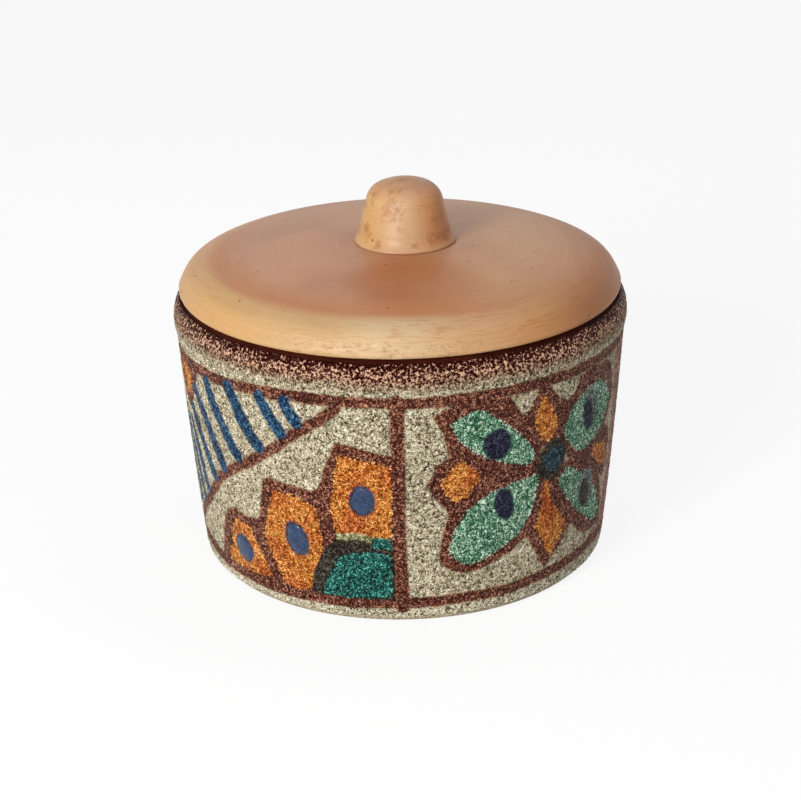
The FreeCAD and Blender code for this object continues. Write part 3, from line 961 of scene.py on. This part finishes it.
class CoatFinish(Finish):
    """The gritty coat's material, built up in the order of the painter's work."""

    def __init__(self):
        super().__init__("painted_sand_slip")
        self.height = self.millimetres()[2]
        self.coarse = self.noise(COARSE_GRAIN)
        self.fine = self.noise(FINE_GRAIN, roughness=0.7, shift=3)
        self.mottle = self.noise(MOTTLE, shift=7) - 0.5
        patches = self.spread(self.noise(CRACK_PATCH, detail=1, shift=9), *CRACKED)
        self.cracks = self.fade(self.cells(CRACK_CELL, "DISTANCE_TO_EDGE"), *CRACK_EDGE) * patches
        noises = self.coarse * COARSE_SHARE + self.fine * FINE_SHARE
        self.grain = noises + self.stored("grit") * GRIT_SHARE
        uncracked = self.spread(self.grain, *GRAIN_RANGE) + self.mottle * MOTTLE_TONE
        # A low tone is dark, so deeper points and the cracks are darkened, partly as painted shade.
        self.tone = uncracked - self.cracks * CRACK_TONE
        self.fray = (self.fine - 0.5) * FINE_FRAY + (self.coarse - 0.5) * COARSE_FRAY

    def tones(self, paint, tone):
        """A paint's three colours along the height of the grain."""
        pit, body, tip, _ = PAINTS[paint]
        return self.ramp(tone, (PIT_TONE, pit), (BODY_LOW, body), (BODY_HIGH, body), (TIP_TONE, tip))

    def cover(self, share, colours, roughness):
        """Colours and a roughness laid over what is there, by a share from 0 to 1."""
        self.colour = self.mix(share, self.colour, colours)
        self.roughness = self.blend(share, self.roughness, roughness)


slip = CoatFinish()

# %% [markdown]
# ### Slip and paints
#
# The cream slip is palest where a sponge wiped it thin, just above the foot. A paint covers the points
# where its stored depth is above zero, give or take the fray. The slate drops have a cleaner edge than
# the brushed paints, and the orange is redder in patches, where it lies thicker.

# %% Lay the slip and the paints
FOOT_SLIP, FOOT_WIPED = seen(238, 229, 206), (1.6, 6.5)
MOST_WIPED, WIPED_TONES = 0.85, (0.2, 0.7)
PAINT_EDGE = 0.14
DROP_FRAY = 0.5
THICK_ORANGE = (-0.25, 0, 0.7)


def bare_slip(slip):
    """The cream slip."""
    wiped = slip.fade(slip.height, *FOOT_WIPED, MOST_WIPED) * slip.spread(slip.tone, *WIPED_TONES)
    slip.colour = slip.mix(wiped, slip.tones("cream", slip.tone), FOOT_SLIP)
    slip.roughness = PAINTS["cream"][3]


def brush_on(slip, paint):
    """One paint over what lies below it."""
    fray = slip.fray * DROP_FRAY if paint == "slate" else slip.fray
    covered = slip.spread(slip.stored(paint) + fray, -PAINT_EDGE, PAINT_EDGE)
    colours = slip.tones(paint, slip.tone)
    if paint == "orange":
        redder = slip.fade(slip.mottle, *THICK_ORANGE)
        colours = slip.mix(redder, colours, slip.tones("red_orange", slip.tone))
    slip.cover(covered, colours, PAINTS[paint][3])


bare_slip(slip)
for paint in PAINT_ORDER:
    brush_on(slip, paint)
print("laid the slip and", len(PAINT_ORDER), "paints")

# %% [markdown]
# ### The rim and the drops
#
# The rim was dipped: its red-brown glaze covers the sand at the top and thins out downwards, first over
# the tips of the grains and then between them. It is tinted darkest just under the lid, which is painted
# shade from the lid over the dark glaze. The slate drops drown the grain, so their roughness, bump and
# gloss replace the grain's.

# %% Glaze the rim, swell the drops and finish the coat
RIM_GLAZE_HEIGHTS, RIM_DARK = (69.3, 77.3), (75, 77.5)
GLAZE_WAVER, GLAZE_SPAN, GRAIN_LIFT = 1.6, (-0.85, 0.85), 1.2
BETWEEN_GRAINS, CLUMPS, GLAZE_EDGE = (-0.75, 0.1), (0.32, 0.76), (-0.1, 0.15)
DROP_SMOOTH, DROP_SWELLS = (-0.2, 0.4), (-0.2, 1.5)
COAT_SPECULAR, RIM_SPECULAR, DROP_SPECULAR, DROP_ROUGHNESS = 0.13, 0.05, 0.3, 0.2
COAT_BUMP, CRACK_BUMP = 0.6, 0.4


def glaze_rim(slip):
    """The rim's glaze, and the share of the surface that it covers."""
    glaze = slip.spread(slip.height + slip.mottle * GLAZE_WAVER, *RIM_GLAZE_HEIGHTS, *GLAZE_SPAN)
    between = slip.spread(glaze, *BETWEEN_GRAINS, 0, 0.9)
    slip.colour = slip.mix(between, slip.colour, slip.tones("rim_grain", slip.tone))
    clumps = slip.spread(slip.coarse * 0.55 + slip.fine * 0.45, *CLUMPS, 0, 1.3)
    covered = slip.spread(glaze + (0.5 - slip.tone) * GRAIN_LIFT, *GLAZE_EDGE)
    # Painted shade from the lid: the top of the rim glaze is darkened just under it.
    rim_tone = clumps - slip.spread(slip.height, *RIM_DARK, 0, 0.5)
    slip.cover(covered, slip.tones("rim", rim_tone), PAINTS["rim"][3])
    return covered


def finish_coat(slip, rim_covered):
    """The finished material, with smooth and glossy drops."""
    smooth = slip.spread(slip.stored("slate"), *DROP_SMOOTH)
    swollen = slip.spread(slip.stored("slate"), *DROP_SWELLS, 0.3, 1.0, smooth=True)
    bump = slip.blend(smooth, slip.grain - slip.cracks * CRACK_BUMP, swollen)
    specular = slip.blend(rim_covered, COAT_SPECULAR, RIM_SPECULAR)
    specular = slip.blend(smooth, specular, DROP_SPECULAR)
    roughness = slip.blend(smooth, slip.roughness, DROP_ROUGHNESS)
    return slip.join(slip.colour, roughness, bump, COAT_BUMP, specular)


coat.data.materials.append(finish_coat(slip, glaze_rim(slip)))

# %% [markdown]
# ## The lid's clay
#
# The lid is bare buff clay, rubbed with the back of a spoon before firing, which closes its surface and
# gives a soft shine. Fire and handling coloured it, and some of its tints are painted light and shade. Each
# mark is one tint laid over the last, and its share is a field that says where it lies: a range of heights,
# of places across the lid, or both. Two numbers after a range are the strength of the tint at its start
# and end, and after a fade one number is the full strength. The burnishing lines come from noise that is
# stretched round the lid.

# %% Tints and fields of the burnished clay
CLAY = ((0.1, seen(160, 112, 82)), (0.5, seen(169, 122, 92)), (0.9, seen(176, 130, 99)))
# Several tints are painted light and shade, as said where each is laid.
TINTS = {
    "painted knob reflection": seen(150, 84, 36), "right side": seen(190, 148, 106), "painted shade right": seen(143, 81, 33),
    "knob": seen(178, 149, 112), "golden flank": seen(180, 137, 74), "ruddy shaded flank": seen(176, 104, 46),
    "crown": seen(165, 116, 83), "stain": seen(132, 76, 34), "brow": seen(166, 103, 52),
    "washed and lit edge": seen(174, 144, 100), "painted front sheen": seen(206, 194, 164), "golden edge": seen(180, 134, 74),
    "streak": seen(150, 92, 54), "fleck": seen(214, 170, 124), "scratch": seen(150, 96, 44),
    "burst pit": seen(96, 50, 24), "dent": seen(148, 100, 54),
}
STREAK, BAND, BROAD, FLECK = 0.5, 3.5, 22, 1.1
ROUND_THE_LID, DOWN_THE_EDGE = 0.04, 1.7


class ClayFinish(Finish):
    """The burnished clay of the lid, ring and knob, tint over tint."""

    def __init__(self):
        super().__init__("burnished_clay")
        self.x, self.y, self.z = self.millimetres()
        outwards = self.math("SQRT", self.x * self.x + self.y * self.y) + self.z * DOWN_THE_EDGE
        squeezed = {0: self.x * (ROUND_THE_LID * MM), 1: self.y * (ROUND_THE_LID * MM), 2: outwards * MM}
        self.round_it = self.add("ShaderNodeCombineXYZ", squeezed).outputs[0]
        self.streaks = self.noise(STREAK, detail=3, roughness=0.6, place=self.round_it)
        self.bands = self.noise(BAND, place=self.round_it, shift=4)
        self.broad = self.noise(BROAD)
        self.flecks = self.noise(FLECK, detail=4, roughness=0.7)
        self.colour = self.ramp(self.broad, *CLAY)

    def tint(self, name, share):
        """Lays a tint over the clay where its share says."""
        self.colour = self.mix(share, self.colour, TINTS[name])


burnished = ClayFinish()
print(len(TINTS), "tints")

# %% [markdown]
# ### Painted light and shade, and the knob
#
# In front of the knob the lid is tinted warm and darker: the knob's painted reflection. The right of the
# top is tinted paler as painted light, and the right shoulder, where it falls to the edge, is tinted darker
# and more orange as painted shade. The knob is golden on its left flank, and its right flank, away from the
# main lamp, is tinted ruddier as painted shade. It has a dull crown and soft stains from fingers.

# %% Tint the painted light and shade, and the knob
WARM_X, WARM_Y, WARM_RADIUS, WARM_FADES = 5, -34, 21, (0.15, 1.3)
RIGHT_SIDE, RIGHT_SHADE, RIGHT_SHADE_WAVER, LID_FALL = (0, 34), (24, 56), 8, (86.5, 89.5)
KNOB_SEAM, KNOB_RISE, KNOB_CROWN = (91.4, 92.2), (91.5, 93), (104.5, 108)
GOLDEN_FLANK, SHADED_RIGHT_FLANK, RUDDY_WAVER = (-9, -1), (5, 14), 3
STAIN, STAIN_RANGE = 4.2, (0.55, 1)


def painted_light_on_lid(clay):
    """The knob's painted reflection, and painted light and shade on the right of the lid."""
    across = (clay.x - WARM_X) / WARM_RADIUS
    along = (clay.y - WARM_Y) / WARM_RADIUS
    away = across * across + along * along
    # Painted reflection of the knob: a warm, darker patch on the lid in front of it.
    clay.tint("painted knob reflection", clay.fade(away, *WARM_FADES, 0.8, smooth=True))
    # Painted light: the right of the lid's top is tinted paler.
    clay.tint("right side", clay.spread(clay.x, *RIGHT_SIDE, 0, 0.5))
    # Painted shade: the right shoulder, where it falls to the edge, is tinted darker and more orange.
    shaded_right = clay.spread(clay.x + clay.bands * RIGHT_SHADE_WAVER, *RIGHT_SHADE)
    clay.tint("painted shade right", shaded_right * clay.fade(clay.z, *LID_FALL) * 0.85)


def knob_tints(clay):
    """The knob's flanks, the right one in painted shade, its crown and its stains."""
    clay.tint("knob", clay.spread(clay.z, *KNOB_SEAM) * clay.spread(clay.broad, 0, 1, 0.5, 0.8))
    on_knob = clay.spread(clay.z, *KNOB_RISE)
    clay.tint("golden flank", on_knob * clay.fade(clay.x, *GOLDEN_FLANK, 0.7))
    # Painted shade: the knob's right flank, away from the main lamp, is tinted ruddier and darker.
    ruddy = clay.spread(clay.x + clay.broad * RUDDY_WAVER, *SHADED_RIGHT_FLANK, 0, 0.85)
    clay.tint("ruddy shaded flank", on_knob * ruddy)
    clay.tint("crown", clay.spread(clay.z, *KNOB_CROWN, 0, 0.6))
    blots = clay.noise(STAIN, detail=4, roughness=0.62, shift=21)
    clay.tint("stain", on_knob * clay.spread(blots, *STAIN_RANGE, 0, 0.7))


painted_light_on_lid(burnished)
knob_tints(burnished)

# %% [markdown]
# ### The edge and its painted light
#
# The edge carries a paler slip, and it is tinted paler still on the side that faces the main lamp, which
# is painted light. At the front it is palest, a painted sheen, and at the sides it is golden. Above it, on
# the brow, a darker band runs on the side that faces left and to the front.

# %% Tint the brow and the edge
EDGE_TOP, BROW_LOW, BROW_HIGH = (87.1, 87.9), (86.8, 87.4), (88, 89)
TOWARD_LEFT, TOWARD_FRONT, TOWARD_WAVER, EDGE_WAVER = -0.55, -0.83, 14, 0.5
BROW_REACH, LIT_EDGE_REACH = (0, 40), (28, 58)
SHEEN_X, SHEEN_WIDTH = -2, (6, 18)
SIDES_X, SIDES_START, RIGHT_END = -4, (26, 44), (34, 46)


def edge_tints(clay):
    """The band on the brow, and below it the edge with its painted light and painted sheen."""
    # The direction that faces the main lamp, with a waver.
    toward = clay.x * TOWARD_LEFT + clay.y * TOWARD_FRONT + clay.bands * TOWARD_WAVER
    brow = clay.spread(clay.z, *BROW_LOW) * clay.fade(clay.z, *BROW_HIGH)
    clay.tint("brow", brow * clay.spread(toward, *BROW_REACH, 0, 0.6))
    edge = clay.fade(clay.z + clay.bands * EDGE_WAVER, *EDGE_TOP)
    # Paler slip on the edge, tinted paler where it faces the main lamp: partly real, partly painted light.
    clay.tint("washed and lit edge", edge * clay.spread(toward, *LIT_EDGE_REACH) * 0.85)
    # Painted sheen: the front of the edge is tinted palest.
    clay.tint("painted front sheen", edge * clay.fade(abs(clay.x - SHEEN_X), *SHEEN_WIDTH, 0.22))
    sides = edge * clay.spread(abs(clay.x - SIDES_X), *SIDES_START, 0, 0.45)
    clay.tint("golden edge", sides * clay.spread(clay.x, *RIGHT_END, 1, 0.1))


edge_tints(burnished)

# %% [markdown]
# ### Small marks
#
# Burnishing leaves streaks, and specks in the clay burn out and leave pits. The edge has hair scratches,
# and dents in front where it was knocked. The pits and dents are pressed in by the bump as well as tinted,
# because they are smaller than the steps of the mesh. The pits' dark tint is partly the burnt speck and
# partly painted shade inside them; the dents' darker tint is painted shade.

# %% Tint the small marks and finish the clay
HAIR, HAIR_TOP, HAIR_ACROSS = 0.22, (87.2, 88.4), (-30, 20)
PIT_SPACING, PIT_SIZE = 8, (0.035, 0.06)
DENT, DENT_TOP, DENT_X, DENT_REACH = 1.7, (82.4, 84.6), -5, (16, 34)
CLAY_ROUGHNESS = (0.36, 0.46)
CLAY_BUMP, CLAY_SPECULAR = 0.06, 0.24


def small_marks(clay):
    """Streaks, flecks and hair scratches."""
    clay.tint("streak", clay.spread(clay.streaks, 0.15, 0.9, 0, 0.16))
    clay.tint("fleck", clay.spread(clay.flecks, 0.6, 1, 0, 0.1))
    hairs = clay.spread(clay.noise(HAIR, place=clay.round_it, shift=6), 0.6, 0.88, 0, 0.5)
    on_edge = clay.fade(clay.z, *HAIR_TOP) * clay.spread(clay.x, *HAIR_ACROSS, 0.3, 1)
    clay.tint("scratch", on_edge * hairs)


def pressed_marks(clay):
    """Burst pits and the dents of the front edge, with how far they are pressed in."""
    pits = clay.fade(clay.cells(PIT_SPACING, "F1"), *PIT_SIZE)
    # Pits are tinted dark, partly for the burnt speck and partly as painted shade inside them.
    clay.tint("burst pit", pits * 0.7)
    front_edge = clay.fade(clay.z, *DENT_TOP) * clay.spread(clay.broad, 0.3, 0.7, 0.25, 1)
    front_edge = front_edge * clay.spread(abs(clay.x - DENT_X), *DENT_REACH, 1, 0.1)
    dents = clay.noise(DENT, roughness=0.6, stretch=(1, 1, 2), shift=12)
    dented = front_edge * clay.spread(dents, 0.55, 0.95)
    # Painted shade: the dents are tinted darker inside.
    clay.tint("dent", dented * 0.4)
    return pits * 2 + dented * 2.5


small_marks(burnished)
bump = (burnished.streaks + burnished.flecks) * 0.3 - pressed_marks(burnished)
roughness = burnished.spread(burnished.streaks * 0.5 + burnished.broad, 0, 1.5, *CLAY_ROUGHNESS)
lid_clay = burnished.join(burnished.colour, roughness, bump, CLAY_BUMP, CLAY_SPECULAR)
for piece in (lid, ring, knob):
    piece.data.materials.append(lid_clay)

# %% [markdown]
# ## The pot's clay and glaze
#
# Inside and over the rim the pot wears a dark brown glaze, which keeps food out of the clay. It is
# mottled, and darkest and least shiny at the rim, where it is also darkened as painted shade under the
# lid. The foot is bare clay, scraped and sanded, with a smear of slip at its edge. One material holds
# both, because the glaze ends in a ragged line that a cut between two materials couldn't give.

# %% Glazed and bare clay
BARE_CLAY = ((0.1, seen(140, 84, 56)), (0.5, seen(172, 108, 74)), (0.9, seen(198, 138, 100)))
BROWN_GLAZE = ((0.1, seen(44, 16, 8)), (0.6, seen(84, 36, 20)), (0.95, seen(120, 62, 36)))
SLIP_SMEAR = ((0.1, seen(112, 100, 76)), (0.8, seen(186, 176, 148)))
RIM_BROWN = seen(40, 5, 1)
RIM_DARKENS, RIM_DULLS, GLEAM_FADES = (70, 75), (72, 76), (66, 74)
POT_BUMP = 0.08


def pot_clay():
    """The material of the pot: brown glaze where it is glazed, bare clay elsewhere."""
    sheet = Finish("pot_clay_and_glaze")
    height = sheet.millimetres()[2]
    mottle = sheet.noise(8, detail=3)
    speck = sheet.noise(0.8, detail=3, roughness=0.6)
    clay = sheet.ramp(mottle * 0.6 + speck * 0.4, *BARE_CLAY)
    glaze = sheet.ramp(mottle * 0.7 + speck * 0.3, *BROWN_GLAZE)
    # Darker towards the rim: the dark glaze, with painted shade under the lid.
    glaze = sheet.mix(sheet.spread(height, *RIM_DARKENS, 0, 0.8), glaze, RIM_BROWN)
    glazed = sheet.spread(sheet.stored("glazed") + (speck - 0.5) * 0.5, 0.4, 0.6)
    smear = sheet.stored("slip_smear") * sheet.spread(speck, 0, 0.4, 0.6, 1)
    colour = sheet.mix(smear, sheet.mix(glazed, clay, glaze), sheet.ramp(speck, *SLIP_SMEAR))
    glaze_roughness = sheet.spread(mottle, 0, 1, 0.28, 0.4) + sheet.spread(height, *RIM_DULLS, 0, 0.4)
    roughness = sheet.blend(glazed, sheet.spread(speck, 0, 1, 0.75, 0.9), glaze_roughness)
    bump = sheet.blend(glazed, speck, mottle * 0.5)
    return sheet.join(colour, roughness, bump, POT_BUMP, sheet.spread(height, *GLEAM_FADES, 0.35, 0.06))


pot.data.materials.append(pot_clay())

# %% [markdown]
# ## Floor and light
#
# A pale floor and large soft lamps, as in a small photo studio. The main lamp stands in front and to the
# left, which puts the bright streak on the left of the knob and leaves the right side in shade. The sky
# lights the box dimly, and looks white only where the camera sees it.

# %% Lay the floor
FLOOR_HALF, FLOOR_DROP = 3.0, 0.05 * MM
PAPER, FLOOR_WHITE = 0.86, 0.86
WHITE = (1, 1, 1, 1)


def looked_at(sheet):
    """1 where the camera looks at the surface, also by a mirror or through glass, and 0 for plain light."""
    rays = sheet.add("ShaderNodeLightPath").outputs
    mirrored = sheet.math("MAXIMUM", rays["Is Glossy Ray"], rays["Is Transmission Ray"])
    return sheet.math("MAXIMUM", rays["Is Camera Ray"], mirrored)


def stage_floor():
    """A large pale floor, a hair below the foot."""
    sides = ((-1, -1), (1, -1), (1, 1), (-1, 1))
    corners = [(x * FLOOR_HALF, y * FLOOR_HALF, -FLOOR_DROP) for x, y in sides]
    data = bpy.data.meshes.new("floor")
    data.from_pydata(corners, [], [(0, 1, 2, 3)])
    floor = bpy.data.objects.new("floor", data)
    bpy.context.scene.collection.objects.link(floor)
    sheet = Sheet("pale_floor")
    paper = sheet.add("ShaderNodeBsdfDiffuse", {"Color": (PAPER, PAPER, PAPER, 1)})
    white = sheet.add("ShaderNodeEmission", {"Color": WHITE, "Strength": 1.0})
    share = looked_at(sheet) * FLOOR_WHITE
    both = sheet.add("ShaderNodeMixShader", {0: share, 1: paper.outputs[0], 2: white.outputs[0]})
    sheet.add("ShaderNodeOutputMaterial", {"Surface": both.outputs[0]})
    data.materials.append(sheet.material)


stage_floor()
print("floor", 2 * FLOOR_HALF, "m wide")

# %% Hang the lamps and the sky
SKY_LIGHT = 0.45
MAIN_LAMP = {"place": (-0.62, -1.0, 0.5), "size": 0.45, "power": 18.5}
TOP_LAMP = {"place": (0.35, 0.15, 1.15), "size": 0.6, "power": 2.0}
LAMPS_FACE = Vector((0, 0, 0.04))


def lamp(name, place, size, power):
    """A square lamp that faces the box."""
    light = bpy.data.objects.new(name, bpy.data.lights.new(name, "AREA"))
    light.data.size = size
    light.data.energy = power
    light.location = place
    light.rotation_euler = (LAMPS_FACE - light.location).to_track_quat("-Z", "Y").to_euler()
    bpy.context.scene.collection.objects.link(light)
    print(name, "at", place)


def white_sky():
    """A dim sky that looks white to the camera."""
    world = bpy.data.worlds.new("studio")
    world.use_nodes = True
    sky = Sheet("sky", world.node_tree)
    strength = sky.blend(looked_at(sky), SKY_LIGHT, 1.0)
    background = sky.add("ShaderNodeBackground", {"Color": WHITE, "Strength": strength})
    sky.add("ShaderNodeOutputWorld", {"Surface": background.outputs[0]})
    bpy.context.scene.world = world


lamp("main_lamp", **MAIN_LAMP)
lamp("top_lamp", **TOP_LAMP)
white_sky()
bpy.context.scene.view_settings.view_transform = "Standard"
